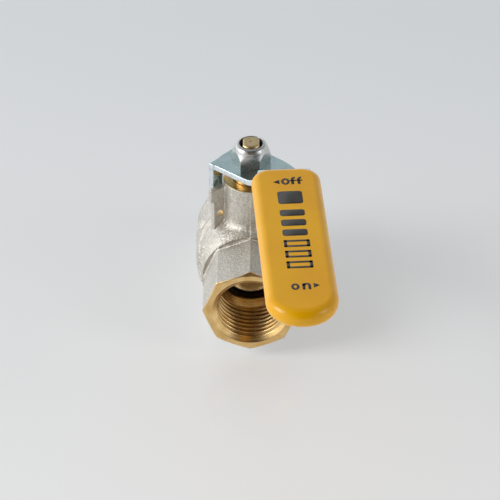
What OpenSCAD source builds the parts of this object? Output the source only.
// Half-inch gas ball valve, quarter turn, lever handle.
// Frame: origin where the pipe axis meets the stem axis, which is the ball's centre.
// +Y runs along the pipe towards the end connector, +Z points up the stem, millimetres.
// The lever stands in its open position, against the left stop lug.

/* [Valve body] */
// Distance from the ball's centre to each end face
half_len = 28; // [27:0.5:32]
// Width across the flats of the octagonal ends
end_flats = 25.5; // [25:0.5:28]
// Radius of the ball housing
housing_r = 16.2; // [16:0.1:18]
// Radius of the neck
neck_r = 8; // [7.5:0.1:8.4]
// Height of the machined neck top above the pipe axis
neck_top = 27.7; // [26.5:0.1:28.5]

/* [Pipe ends] */
// Minor diameter of the G 1/2 female thread
thread_minor_d = 18.63; // [18.4:0.01:18.8]
// Depth of the thread from the end face
thread_len = 14; // [12:0.5:15]
// Diameter of the waterway between thread and seat
waterway_d = 18.2; // [17:0.1:18.3]

/* [Ball and seats] */
// Diameter of the ball
ball_d = 22; // [21.6:0.1:22.4]
// Diameter of the port through the ball
port_d = 15; // [13:0.5:15]
// Inner diameter of the seat rings
seat_d = 16.4; // [16:0.1:17]

/* [Stem] */
// Diameter of the stem in the neck
stem_d = 10.34; // [10:0.02:10.4]
// Diameter of the stem's threaded end
stem_end_d = 6; // [5.8:0.1:6]
// Width across the two flats of the threaded end
stem_flats = 5; // [4.6:0.1:5]
// Height of the stem's tip above the pipe axis
stem_top = 39.9; // [39.6:0.1:42]

/* [Lever] */
// Thickness of the lever's steel strip
strip_t = 1.8; // [1.5:0.1:2]
// Width of the strip
strip_w = 14.6; // [14:0.1:15]
// Reach of the grip's front end from the stem axis, along the grip
lever_reach = 90; // [75:0.1:110]
// Angle of the grip from the pipe axis
grip_angle = 4.3; // [3:0.1:5]
// Height of the strip inside the grip above its height at the stem
crank_rise = 10.7; // [6:0.1:12]

/* [Grip] */
// Width of the grip
grip_w = 19.2; // [18.6:0.1:21]
// Thickness of the grip
grip_t = 5.6; // [5:0.1:6.5]
// Distance of the grip's back end from the stem axis, along the grip
grip_start = 21.9; // [21:0.1:26]

/* [Hidden] */

// Curve quality, and the quality of shapes that a hull turns into facets.
fine = 96;
hull_fine = 32;
// Gaps: a running fit on radius, and a hair between fixed neighbours.
run_gap = 0.05;
hair = 0.02;
// How far a cutter passes beyond the face that it opens.
over = 1;

// Octagonal ends.
octagon_r = end_flats / 2 / cos(180 / 8);
end_face_r = end_flats / 2 - 0.25;
end_chamfer = 0.7;
thread_r = thread_minor_d / 2;
mouth_chamfer = 1.8;

// Ball, seats and the chamber that they lie in.
ball_r = ball_d / 2;
ball_slot_w = 4.2;
ball_slot_floor = 8.5;
chamber_r = 11.6;
seat_back = 8.6;
seat_front = 5.6;
seat_outer_r = 11;

// Joint between body and connector.
joint_y = 12.5;
joint_thread_r = 13;
joint_inner_y = 6.6;
rear_r = 16.1;
barrel_arc_r = 26;
barrel_front = 10.7;
collar_r = 16.1;
collar_end = 15.6;
seal_w = 1.4;
seal_r = 12.1;

// Stem, from the tang in the ball up to the threaded tip.
stem_r = stem_d / 2;
tang_t = 4;
tang_w = 9;
tang_foot = 8.7;
flange_r = 6.2;
flange_foot = 11.7;
washer_foot = 13.6;
washer_top = 14.4;
flange_bore_r = 6.35;
oring_wire_r = 0.64;
oring_r = stem_r - oring_wire_r - hair;
oring_groove_w = 1.8;
oring_z = [18, 22.2];
stem_tip_chamfer = 0.7;

// Lever plate, which rests on the stem's shoulder.
plate_foot = 31.6;
plate_top = plate_foot + strip_t;
tongue_foot = 23.4;
tongue_w = 4;
tab_dir = 137.6;
tab_reach = 8.26;
corner_along = 9.03;
outer_side = 6.15;
front_side = 8.45;
elbow_r = 22;
ramp_start = 11;
ramp_end = 20.4;
shank_x = 7.87;
strip_end = lever_reach - 3.5;
hole_gap = 0.08;

// Stop lugs on the neck. The tongue rests on the left one when open, the rear one when shut.
lug_top = 25.9;
lug_step = 21.4;
left_lug_corner = [-11.5, -4.8];
left_lug_slant = 27;
left_lug_len = 5.5;
left_lug_w = 1.84;
left_rib_inset = 0.9;
rear_lug_face = 1.95;
rear_lug_w = 2.6;
rear_lug_reach = 11.6;
seal_hole_r = 1;
seal_hole_along = 3;
seal_hole_z = 17.4;

// Handle nut and its nylon insert.
nut_flats = 9.8;
nut_hex_top = 37.3;
nut_top = 39.5;
nut_collar_r = 4.55;
insert_r = 4;
insert_foot = 37.2;
insert_top = 38.9;
nut_turn = -3;

// Grip.
grip_mid = plate_foot + crank_rise + strip_t / 2;
grip_front_r = 9.4;
grip_back_r = 4.6;
grip_edge_r = 2.2;

// Solids along the pipe axis, from the plane y0 to the plane y1.
module along_y(y0, y1, r0, r1, facets = fine) {
    translate([0, y0, 0])
        rotate([-90, 0, 0])
            cylinder(h = y1 - y0, r1 = r0, r2 = r1, $fn = facets);
}

// Solids along the stem axis, from the height z0 to the height z1.
module along_z(z0, z1, r, facets = fine) {
    translate([0, 0, z0]) cylinder(h = z1 - z0, r = r, $fn = facets);
}

// A box between two corners.
module box(low, high) {
    translate(low) cube(high - low);
}

// One octagonal end with its turned chamfer, its end face at -half_len.
module octagon_end(inner_y) {
    intersection() {
        along_y(-half_len, inner_y, octagon_r, octagon_r, 8);
        union() {
            along_y(-half_len, -half_len + end_chamfer, end_face_r, octagon_r + 0.2);
            along_y(-half_len + end_chamfer, inner_y, octagon_r + 0.2, octagon_r + 0.2);
        }
    }
}

// The threaded socket, at its minor diameter, and the plain waterway behind it.
module socket_cut(inner_y) {
    along_y(-half_len - over, -half_len, thread_r + mouth_chamfer, thread_r + mouth_chamfer);
    along_y(-half_len, -half_len + mouth_chamfer, thread_r + mouth_chamfer, thread_r);
    along_y(-half_len - over, -half_len + thread_len, thread_r, thread_r);
    along_y(-half_len - over, inner_y, waterway_d / 2, waterway_d / 2);
}

// The front of the ball housing, a shallow barrel that ends in a step above the octagon.
module barrel() {
    profile = [for (i = [0:16]) let (y = barrel_front * i / 16)
        [sqrt(barrel_arc_r * barrel_arc_r - y * y) + housing_r - barrel_arc_r, y]];
    rotate([90, 0, 0])
        rotate_extrude($fn = fine)
            polygon(concat([[0, 0]], profile, [[0, barrel_front]]));
}

// The stop lug on the left of the neck, with its rib and the hole for a sealing wire.
module left_lug() {
    translate(left_lug_corner)
        rotate(left_lug_slant) {
            box([0, 0, lug_step], [left_lug_len, left_lug_w, lug_top]);
            box([left_rib_inset, 0, 0], [left_lug_len, left_lug_w, lug_step]);
        }
}

// The stop lug behind the neck.
module rear_lug() {
    right = rear_lug_face + rear_lug_w;
    box([rear_lug_face, neck_r / 2, 0], [right, rear_lug_reach, lug_top]);
}

module body() {
    color([0.72, 0.70, 0.67])
    difference() {
        union() {
            octagon_end(-6);
            barrel();
            along_y(0, joint_y - 0.6, rear_r, rear_r);
            along_y(joint_y - 0.6, joint_y, rear_r, rear_r - 0.6);
            along_z(4, neck_top, neck_r);
            translate([0, 0, 12.6]) cylinder(h = 3.6, r1 = neck_r + 2.2, r2 = neck_r, $fn = fine);
            left_lug();
            rear_lug();
        }
        // Cut the housing off square where the connector meets it.
        along_y(joint_y, joint_y + housing_r, housing_r + over, housing_r + over);
        socket_cut(0);
        along_y(-seat_back, joint_y + over, chamber_r, chamber_r);
        along_y(joint_inner_y - 0.4, joint_y + over, joint_thread_r, joint_thread_r);
        along_z(0, washer_top, flange_bore_r);
        along_z(0, neck_top + over, stem_r + run_gap);
        translate(left_lug_corner)
            rotate(left_lug_slant)
                translate([seal_hole_along, left_lug_w + over, seal_hole_z])
                    rotate([90, 0, 0])
                        cylinder(h = left_lug_w + 2 * over, r = seal_hole_r, $fn = fine);
    }
}

module end_connector() {
    color([0.70, 0.68, 0.65])
    difference() {
        union() {
            mirror([0, 1, 0]) octagon_end(-collar_end + 1);
            along_y(joint_y, collar_end, collar_r, collar_r);
            along_y(joint_inner_y, joint_y, joint_thread_r - hair, joint_thread_r - hair);
        }
        mirror([0, 1, 0]) socket_cut(-seat_back + over);
        along_y(joint_inner_y - over, seat_back, seat_outer_r + hair, seat_outer_r + hair);
        // Groove for the joint seal.
        translate([0, joint_y - seal_w - 0.8, 0])
            rotate([-90, 0, 0])
                difference() {
                    cylinder(h = seal_w, r = joint_thread_r + over, $fn = fine);
                    translate([0, 0, -over]) cylinder(h = seal_w + 2 * over, r = seal_r, $fn = fine);
                }
    }
}

module body_joint_seal() {
    wire_r = (joint_thread_r - seal_r) / 2 - hair;
    color([0.10, 0.10, 0.10])
    translate([0, joint_y - 0.8 - seal_w / 2, 0])
        rotate([-90, 0, 0])
            rotate_extrude($fn = fine)
                translate([(joint_thread_r + seal_r) / 2, 0]) circle(r = wire_r, $fn = 24);
}

module ball() {
    color([0.82, 0.83, 0.85])
    difference() {
        sphere(r = ball_r, $fn = fine);
        along_y(-ball_r - over, ball_r + over, port_d / 2, port_d / 2);
        box([-ball_r, -ball_slot_w / 2, ball_slot_floor], [ball_r, ball_slot_w / 2, ball_r + over]);
    }
}

// A seat ring whose front face is hollowed to the ball's own radius.
module seat() {
    difference() {
        along_y(seat_front, seat_back, seat_outer_r, seat_outer_r);
        along_y(seat_front - over, seat_back + over, seat_d / 2, seat_d / 2);
        sphere(r = ball_r + hair, $fn = fine);
    }
}

module inlet_seat() {
    color([0.09, 0.09, 0.10]) mirror([0, 1, 0]) seat();
}

module outlet_seat() {
    color([0.09, 0.09, 0.10]) seat();
}

// The ring cut into the stem for one O-ring, centred on the height z.
module oring_groove(z) {
    difference() {
        along_z(z - oring_groove_w / 2, z + oring_groove_w / 2, stem_r + over);
        along_z(z - oring_groove_w, z + oring_groove_w, oring_r - oring_wire_r - hair);
    }
}

module stem() {
    color([0.80, 0.63, 0.30])
    difference() {
        union() {
            box([-tang_w / 2, -tang_t / 2, tang_foot], [tang_w / 2, tang_t / 2, flange_foot + 0.5]);
            along_z(flange_foot, washer_foot, flange_r);
            along_z(flange_foot, plate_foot, stem_r);
            intersection() {
                union() {
                    along_z(flange_foot, stem_top - stem_tip_chamfer, stem_end_d / 2);
                    translate([0, 0, stem_top - stem_tip_chamfer])
                        cylinder(h = stem_tip_chamfer, r1 = stem_end_d / 2,
                            r2 = stem_end_d / 2 - stem_tip_chamfer, $fn = fine);
                }
                box([-stem_flats / 2, -stem_end_d, 0], [stem_flats / 2, stem_end_d, stem_top + over]);
            }
        }
        for (z = oring_z) oring_groove(z);
    }
}

module stem_thrust_washer() {
    color([0.93, 0.93, 0.90])
    difference() {
        along_z(washer_foot, washer_top, flange_r);
        along_z(washer_foot - over, washer_top + over, stem_r + hair);
    }
}

module stem_oring(z) {
    color([0.08, 0.08, 0.08])
    translate([0, 0, z])
        rotate_extrude($fn = fine)
            translate([oring_r, 0]) circle(r = oring_wire_r, $fn = 24);
}

module stem_oring_lower() {
    stem_oring(oring_z[0]);
}

module stem_oring_upper() {
    stem_oring(oring_z[1]);
}

// Plan directions of the tab: outward across its end edge, and along that edge.
tab_out = [cos(tab_dir), sin(tab_dir)];
tab_along = [sin(tab_dir), -cos(tab_dir)];
// Plan directions of the grip: along it, away from the stem, and across it, to the right.
grip_out = [sin(grip_angle), -cos(grip_angle)];
grip_side = [cos(grip_angle), sin(grip_angle)];

// Points of a circular arc in plan.
function arc(centre, r, from, to, steps) =
    [for (i = [0 : steps]) let (a = from + (to - from) * i / steps) centre + r * [cos(a), sin(a)]];

// Where the lines n1.p = d1 and n2.p = d2 cross.
function crossing(n1, d1, n2, d2) =
    let (det = n1[0] * n2[1] - n1[1] * n2[0])
    [(d1 * n2[1] - d2 * n1[1]) / det, (n1[0] * d2 - n2[0] * d1) / det];

// The tab's two long sides run towards the shank; side_dir points across them, to the shank's right.
side_dir = tab_dir - 88;
side_n = [cos(side_dir), sin(side_dir)];
shank_right = [shank_x, 0] * grip_side + strip_w / 2;
shank_left = shank_right - strip_w;
tab_corner = tab_reach * tab_out - corner_along * tab_along;
tab_far_corner = crossing(tab_out, tab_reach, side_n, outer_side);
front_corner = crossing(side_n, -front_side, grip_side, shank_left);
// Centre of the large outer bend between the tab's outer side and the shank's right side.
elbow = crossing(side_n, outer_side - elbow_r, grip_side, shank_right - elbow_r);

// The strip's plan from the tab, round the elbow and along the shank.
function strip_plan() = concat(
    [tab_corner],
    [front_corner],
    [shank_left * grip_side + strip_end * grip_out],
    [shank_right * grip_side + strip_end * grip_out],
    arc(elbow, elbow_r, grip_angle, side_dir, 10),
    [tab_far_corner]
);

// The strip's side view along the grip: flat at the stem, a ramp, then flat in the grip.
function strip_side() =
    let (low = plate_foot, high = plate_foot + crank_rise)
    [
        [-2 * strip_w, low], [ramp_start, low], [ramp_end, high], [strip_end, high],
        [strip_end, high + strip_t], [ramp_end - 0.8, high + strip_t],
        [ramp_start - 0.8, low + strip_t], [-2 * strip_w, low + strip_t]
    ];

// Stands a side view up along the grip, reaching width to both sides of the stem axis.
module along_grip(points, width) {
    rotate([0, 0, grip_angle - 90])
        translate([0, width, 0])
            rotate([90, 0, 0])
                linear_extrude(height = 2 * width) polygon(points);
}

// The tongue bent down at the tab's corner, which meets the stop lugs.
module tongue() {
    foot = tab_corner;
    end = foot + tongue_w * tab_along;
    inward = -strip_t * tab_out;
    translate([0, 0, tongue_foot])
        linear_extrude(height = plate_top - tongue_foot)
            polygon([foot, end, end + inward, foot + inward]);
}

module lever() {
    color([0.62, 0.70, 0.72])
    difference() {
        union() {
            intersection() {
                linear_extrude(height = 3 * plate_top) polygon(strip_plan());
                along_grip(strip_side(), 3 * strip_w);
            }
            tongue();
        }
        intersection() {
            along_z(plate_foot - over, plate_top + over, stem_end_d / 2 + hole_gap);
            box([-stem_flats / 2 - hole_gap, -stem_end_d, plate_foot - over],
                [stem_flats / 2 + hole_gap, stem_end_d, plate_top + over]);
        }
    }
}

// A rectangle from (x0, y0) to (x1, y1) with corner radius r0 at its x0 end and r1 at its x1 end.
function rounded(x0, y0, x1, y1, r0, r1, steps) = concat(
    arc([x0 + r0, y0 + r0], r0, 180, 270, steps),
    arc([x1 - r1, y0 + r1], r1, 270, 360, steps),
    arc([x1 - r1, y1 - r1], r1, 0, 90, steps),
    arc([x0 + r0, y1 - r0], r0, 90, 180, steps)
);

// The grip's outer shape: its plan, its side view and its cross-section, each extruded and crossed.
module grip_shell() {
    low = grip_mid - grip_t / 2;
    high = grip_mid + grip_t / 2;
    mid = shank_right - strip_w / 2;
    edge = grip_edge_r;
    intersection() {
        rotate([0, 0, grip_angle - 90])
            linear_extrude(height = 2 * high)
                polygon(rounded(grip_start, mid - grip_w / 2, lever_reach, mid + grip_w / 2,
                    grip_back_r, grip_front_r, 8));
        along_grip(rounded(grip_start, low, lever_reach, high, edge, edge, 5), 2 * grip_w);
        rotate([0, 0, grip_angle - 90])
            rotate([90, 0, 90])
                linear_extrude(height = lever_reach + over)
                    polygon(rounded(mid - grip_w / 2, low, mid + grip_w / 2, high, edge, edge, 5));
    }
}

module lever_grip() {
    gap = 0.05;
    low = grip_mid - strip_t / 2 - gap;
    high = grip_mid + strip_t / 2 + gap;
    color([0.93, 0.71, 0.11])
    difference() {
        grip_shell();
        rotate([0, 0, grip_angle - 90])
            box([0, shank_left - gap, low], [strip_end + gap, shank_right + gap, high]);
    }
}

module handle_nut() {
    hex_r = nut_flats / 2 / cos(30);
    color([0.66, 0.67, 0.68])
    rotate([0, 0, nut_turn])
    difference() {
        union() {
            intersection() {
                along_z(plate_top, nut_hex_top, hex_r, 6);
                translate([0, 0, plate_top])
                    cylinder(h = nut_hex_top - plate_top, r1 = hex_r + 1.9, r2 = nut_flats / 2 - 0.2, $fn = fine);
            }
            along_z(plate_top, nut_top - 0.9, nut_collar_r);
            translate([0, 0, nut_top - 0.9])
                cylinder(h = 0.9, r1 = nut_collar_r, r2 = nut_collar_r - 0.9, $fn = fine);
        }
        along_z(plate_top - over, nut_top + over, stem_end_d / 2 + hair);
        along_z(insert_foot, insert_top, insert_r + hair);
        along_z(insert_foot, nut_top + over, 3.4);
    }
}

module nut_insert() {
    color([0.12, 0.14, 0.20])
    difference() {
        along_z(insert_foot + hair, insert_top - hair, insert_r);
        along_z(insert_foot - over, insert_top + over, stem_end_d / 2 + hair);
    }
}

body();
end_connector();
body_joint_seal();
ball();
inlet_seat();
outlet_seat();
stem();
stem_thrust_washer();
stem_oring_lower();
stem_oring_upper();
lever();
lever_grip();
handle_nut();
nut_insert();
